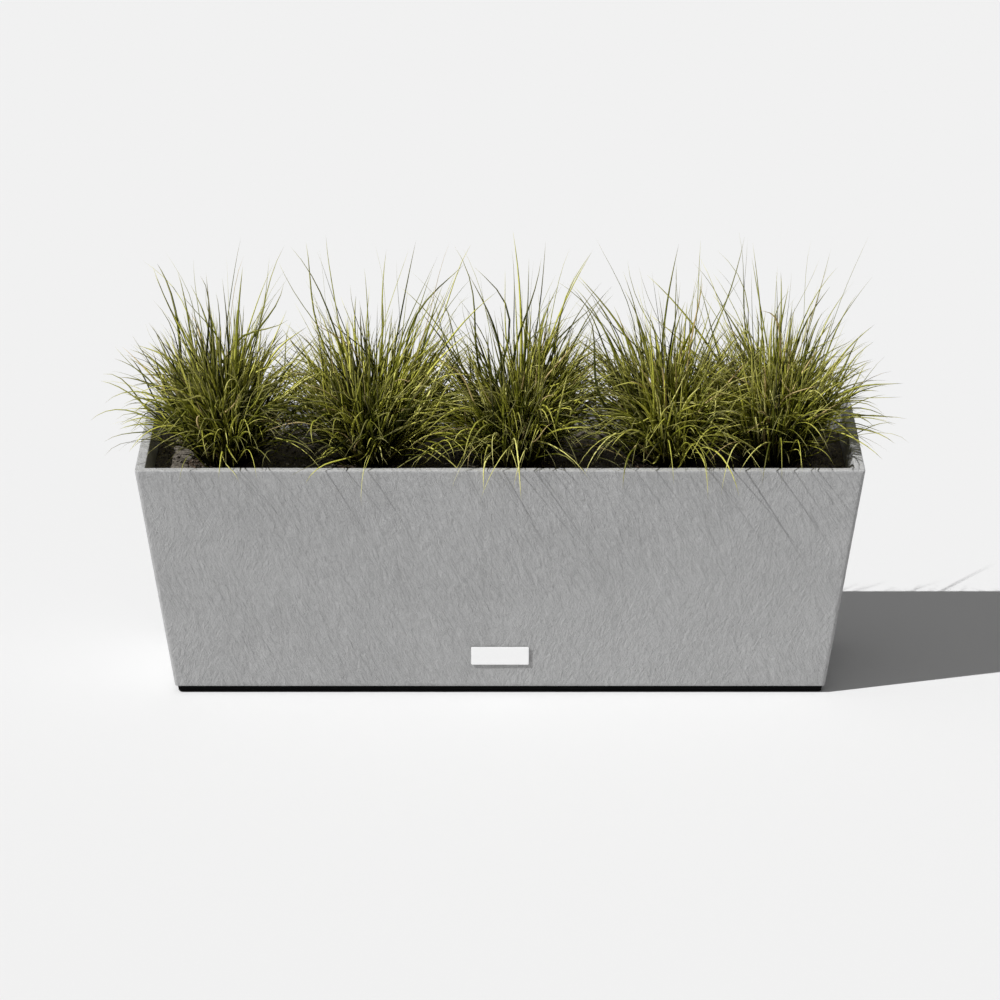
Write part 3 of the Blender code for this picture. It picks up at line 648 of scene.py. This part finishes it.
def make_fleece(material):
    """The filter sheet, laid on the platform and cut round the cups and tubes."""
    low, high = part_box("filter_fleece")
    width, depth = high[0] - low[0], high[1] - low[1]
    verts = []
    for row in range(FLEECE_ROWS + 1):
        for column in range(FLEECE_COLUMNS + 1):
            x = low[0] + width * column / FLEECE_COLUMNS
            y = low[1] + depth * row / FLEECE_ROWS
            ripple = 0.00035 * noise.noise(Vector((x * 22, y * 22, 3.0)))
            verts.append((x, y, low[2] + FLEECE_THICKNESS / 2 + 0.0004 + ripple))
    faces = []
    for row in range(FLEECE_ROWS):
        for column in range(FLEECE_COLUMNS):
            first = row * (FLEECE_COLUMNS + 1) + column
            after = first + FLEECE_COLUMNS + 1
            faces.append((first, first + 1, after + 1, after))
    mesh = mesh_of("fleece_sheet", verts, faces)
    mesh.shade_smooth()
    sheet = add_piece("fleece_sheet", mesh, material, "filter_fleece", "planter", "filter_fleece")
    solid = sheet.modifiers.new("thickness", "SOLIDIFY")
    solid.thickness = FLEECE_THICKNESS
    solid.offset = 0.0
    settle(sheet)

    holes = [(f"wicking_cup_{side}", CUP_CUT) for side in SIDES]
    holes += [("fill_tube", FILL_CUT), ("gauge_tube", GAUGE_CUT)]
    work = bmesh.new()
    for node, radius in holes:
        x, y, _ = middle(node)
        add_cylinder(work, radius, 0.02, Matrix.Translation((x, y, low[2])))
    cut(sheet, work)


# ---- grass ---------------------------------------------------------------------------------
BLADES = 1050                # in each tussock, besides the drooping ones
JOINTS = 14                  # points along each blade
FINE = 3                     # closer points per joint when a blade is tested against the planter
TUFTS = 34                   # a tussock's blades stand in this many tufts
TUSSOCK_FOOT = 0.027         # radius of the ground that a tussock's blades come out of
# each kind of blade: its share of the tussock, then the least and the most of its length, of its
# lean from upright and of its bend over, in degrees, and its width
KINDS = [
    (0.54, 0.118, 0.185, 1, 31, 5, 60, 0.0030),
    (0.24, 0.120, 0.195, 12, 42, 30, 105, 0.0026),
    (0.05, 0.190, 0.275, 0, 18, 3, 45, 0.0028),
    (0.17, 0.055, 0.120, 6, 38, 20, 90, 0.0025),
]
OVER_THE_RIM = (0.150, 0.205, 34, 56, 85, 125, 0.0023)      # the drooping kind, without a share
DROOPING = {1: 4, 2: 5, 3: 11, 4: 8, 5: 5}      # blades that hang over the front rim
# how far each tussock spreads to the left and to the right, against its spread to the front
REACH = {1: (0.82, 1.05), 2: (0.95, 0.95), 3: (0.95, 0.95), 4: (0.95, 0.95), 5: (1.0, 0.95)}
# blades drawn for each one wanted, because those that would run into something are dropped
SPARE, DROOPING_SPARE = 2, 8
DRY_SHARE = 0.03             # how many of the blades are straw-coloured
GAUGE_ROOM = 0.0175          # radius kept free of grass round the gauge's window
CAP_ROOM_SIDE, CAP_ROOM_FRONT, CAP_ROOM_BEHIND = 0.003, 0.004, 0.02      # and round the cap
BOX_SLACK = 0.004            # how far a blade may pass the CAD's box


def blade_paths(rng, count, drooping, centre, reach):
    """The paths, widths, kinds and tones of many blades; paths is blades x JOINTS x 3."""
    kinds = rng.choice(len(KINDS), size=count, p=[kind[0] for kind in KINDS])
    table = np.array(KINDS)[kinds, 1:]
    table = np.concatenate([np.tile(OVER_THE_RIM, (drooping, 1)), table])
    kinds = np.concatenate([np.full(drooping, len(KINDS)), kinds])
    count += drooping
    over = kinds == len(KINDS)

    tuft = rng.integers(0, TUFTS, count)
    tuft_turn = rng.uniform(0, math.tau, TUFTS)[tuft]
    tuft_share = (rng.random(TUFTS) ** 0.8)[tuft]
    share = np.clip(tuft_share + rng.normal(0, 0.22, count), 0, 1)
    around = np.where(over, rng.normal(-math.pi / 2, 0.55, count),
                      tuft_turn + rng.normal(0, 0.40, count))
    length = rng.uniform(table[:, 0], table[:, 1])
    lean = np.radians(table[:, 2] + (table[:, 3] - table[:, 2]) * share)
    bend = np.radians(rng.uniform(table[:, 4], table[:, 5]))
    width = table[:, 6] * rng.uniform(0.60, 1.20, count)
    out = TUSSOCK_FOOT * np.sqrt(rng.random(count)) * (0.35 + 0.65 * share)
    start_turn = around + rng.normal(0, 0.25, count)
    sideways = rng.normal(0, 0.50, count)
    waviness = rng.normal(0, 0.27, (count, 1))
    phase = rng.uniform(0, math.tau, (count, 1))

    along = np.linspace(0, 1, JOINTS)[None, :]
    tilt = lean[:, None] + bend[:, None] * along ** 1.5 + waviness * np.sin(along * 7 + phase)
    heading = start_turn[:, None] + sideways[:, None] * along
    stretch = np.where(np.cos(heading) > 0, reach[1], reach[0])
    widened = 1 + (stretch - 1) * np.abs(np.cos(heading))
    step = np.stack([np.sin(tilt) * np.cos(heading) * widened, np.sin(tilt) * np.sin(heading),
                     np.cos(tilt)], axis=2)
    step *= (length / (JOINTS - 1))[:, None, None]
    base = np.stack([centre[0] + out * np.cos(around), centre[1] + out * np.sin(around),
                     np.full(count, SOIL_TOP - 0.003)], axis=1)
    path = base[:, None, :] + np.cumsum(step, axis=1) - step[:, :1, :]

    tone = np.clip(rng.uniform(-0.20, 1.05, TUFTS)[tuft] * 0.5 + rng.random(count) * 0.5
                   + rng.normal(0, 0.10, count), 0, 1)
    tone = np.where(over, rng.uniform(0.80, 1.0, count), tone)
    return path, width, kinds, tone


def blocked(path):
    """Which blades run into the shell, the soil, the gauge, the cap's swing or out of the box."""
    closer = []
    for joint in range(JOINTS - 1):
        for part in range(FINE):
            share = part / FINE
            closer.append(path[:, joint] * (1 - share) + path[:, joint + 1] * share)
    points = np.stack(closer + [path[:, -1]], axis=1)
    x, y, z = points[..., 0], points[..., 1], points[..., 2]

    gap = 0.0012
    out_x, out_y = half_sizes(z, -gap)
    wall = WALL + 2 * gap
    inside = (np.abs(x) < out_x - wall) & (np.abs(y) < out_y - wall)
    in_shell = (np.abs(x) < out_x) & (np.abs(y) < out_y) & ~inside & (z < RIM_Z + gap)
    started = np.arange(points.shape[1])[None, :] > FINE
    in_soil = inside & (z < SOIL_TOP + 0.001) & started

    gauge_x, gauge_y, _ = middle("gauge_window")
    gauge_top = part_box("gauge_window")[1][2] + 0.002
    in_gauge = (np.hypot(x - gauge_x, y - gauge_y) < GAUGE_ROOM) & (z < gauge_top)

    low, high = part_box("fill_cap")
    swing_top = low[2] + (high[1] - low[1] + CAP_ROOM_FRONT)
    in_cap = (x > low[0] - CAP_ROOM_SIDE) & (x < high[0] + CAP_ROOM_SIDE) \
        & (y > low[1] - CAP_ROOM_FRONT) & (y < high[1] + CAP_ROOM_BEHIND) & (z < swing_top)

    limit_x, limit_y, limit_z = [size + BOX_SLACK for size in cad_box[1]]
    outside = (np.abs(x) > limit_x) | (np.abs(y) > limit_y) | (z > limit_z)
    return (in_shell | in_soil | in_gauge | in_cap | outside).any(axis=1)


def blade_skin(rng, path, width):
    """Points and triangles of thin three-sided blades along these paths, each ending in a tip."""
    ahead = np.gradient(path, axis=1)
    ahead /= np.linalg.norm(ahead, axis=2, keepdims=True)
    flat = np.stack([-ahead[..., 1], ahead[..., 0], np.zeros_like(ahead[..., 0])], axis=2)
    flat /= np.linalg.norm(flat, axis=2, keepdims=True) + 1e-9
    up = np.cross(ahead, flat)
    share = np.linspace(0, 1, JOINTS)
    total = len(path)
    roll = rng.normal(0, 0.7, (total, 1)) + rng.normal(0, 0.8, (total, 1)) * share
    roll = roll[..., None]
    side = flat * np.cos(roll) + up * np.sin(roll)
    keel = np.cross(side, ahead)

    taper = (0.55 + 0.45 * np.clip(share / 0.30, 0, 1)) * (1 - share ** 3.4) + 0.02
    half = (width[:, None] * taper[None, :] / 2)[..., None]
    rings = np.stack([path + side * half, path - side * half, path + keel * half * 0.45],
                     axis=2)[:, :-1]
    verts = np.concatenate([rings.reshape(total, -1, 3), path[:, -1:]], axis=1)

    pattern = [(2, 1, 0)]
    for joint in range(JOINTS - 2):
        low, high = joint * 3, joint * 3 + 3
        for a, b in ((0, 1), (1, 2), (2, 0)):
            pattern += [(low + a, low + b, high + b), (low + a, high + b, high + a)]
    end, tip = (JOINTS - 2) * 3, verts.shape[1] - 1
    pattern += [(end, end + 1, tip), (end + 1, end + 2, tip), (end + 2, end, tip)]
    faces = np.array(pattern)[None] + (np.arange(total) * verts.shape[1])[:, None, None]
    return verts, faces


def paint_blades(rng, mesh, tone):
    """Store on the points each blade's tone, how far along it they are, and if it is dry."""
    dry = (rng.random(len(tone)) < DRY_SHARE).astype(float)
    along = np.append(np.repeat(np.linspace(0, 1, JOINTS)[:-1], 3), 1.0)
    colours = np.ones((len(tone), len(along), 4), dtype=np.float32)
    colours[..., 0] = tone[:, None]
    colours[..., 1] = along
    colours[..., 2] = dry[:, None]
    stored = mesh.attributes.new("blade", "FLOAT_COLOR", "POINT")
    stored.data.foreach_set("color", colours.reshape(-1))


def grow_tussock(number, material):
    """One tussock, as one mesh of all its blades."""
    rng = np.random.default_rng(100 + number)
    drooping = DROOPING[number]
    centre = middle(f"root_ball_{number}")[:2]
    path, width, kinds, tone = blade_paths(rng, BLADES * SPARE, drooping * DROOPING_SPARE,
                                           centre, REACH[number])
    clear = ~blocked(path)
    over = kinds == len(KINDS)
    keep = np.concatenate([np.flatnonzero(clear & over)[:drooping],
                           np.flatnonzero(clear & ~over)[:BLADES]])
    verts, faces = blade_skin(rng, path[keep], width[keep])
    mesh = mesh_of_arrays(f"tussock_{number}", verts.reshape(-1, 3), faces.reshape(-1, 3))
    paint_blades(rng, mesh, tone[keep])
    mesh.shade_smooth()
    add_piece(f"tussock_{number}", mesh, material, "grass", "planter", f"grass_clump_{number}")


def dress(material, *nodes):
    """Give CAD nodes their finished material."""
    for node in nodes:
        item = frame["nodes"][node]
        for slot in item.material_slots:
            slot.material = material


def main():
    """Set the stage, give the CAD's nodes their looks and make the finer pieces."""
    bpy.context.scene.view_settings.view_transform = "Standard"
    make_camera()
    make_light()
    make_floor()

    black = moulded("black_plastic", (0.020, 0.020, 0.021), 0.50)
    rubber = moulded("rubber", (0.026, 0.026, 0.026), 0.80, 700.0)
    steel = brushed_steel()
    # The plinth is black, and is made near-black (0.004) as painted shade for the shadowed gap
    # under the shell's foot.
    dress(moulded("plinth_black_and_painted_gap_shade", (0.004, 0.004, 0.004), 0.85, 700.0, 0.05), "base_plinth")
    dress(black, "soil_platform", "fill_tube", "fill_collar", "fill_cap", "gauge_tube",
          "gauge_bezel", "drain_bush", "drain_nut")
    dress(black, *[f"platform_leg_{number}" for number in range(1, 7)])
    dress(black, *[f"wicking_cup_{side}" for side in SIDES])
    dress(rubber, "drain_washer", "drain_plug")
    dress(rubber, *[f"rubber_foot_{number}" for number in range(1, 5)])
    dress(steel, "fill_cap_pin", *[f"plinth_screw_{number}" for number in range(1, 5)])
    dress(white_label(), "label_plate")
    dress(moulded("adhesive_foam", (0.03, 0.03, 0.03), 0.9, 500.0), "label_adhesive_pad")
    dress(clear_plastic(), "gauge_window")
    dress(float_foam(), "gauge_float")
    dress(moulded("white_plastic", (0.80, 0.80, 0.78), 0.45), "gauge_rod")
    dress(moulded("marker_red", (0.60, 0.045, 0.03), 0.40), "gauge_marker")

    make_shell(stone())
    soil = potting_soil()
    make_soil(soil)
    make_crumbs(soil)
    make_root_balls(root_mat())
    make_fleece(fleece_cloth())
    grass = grass_blades()
    for number in CLUMPS:
        grow_tussock(number, grass)


main()
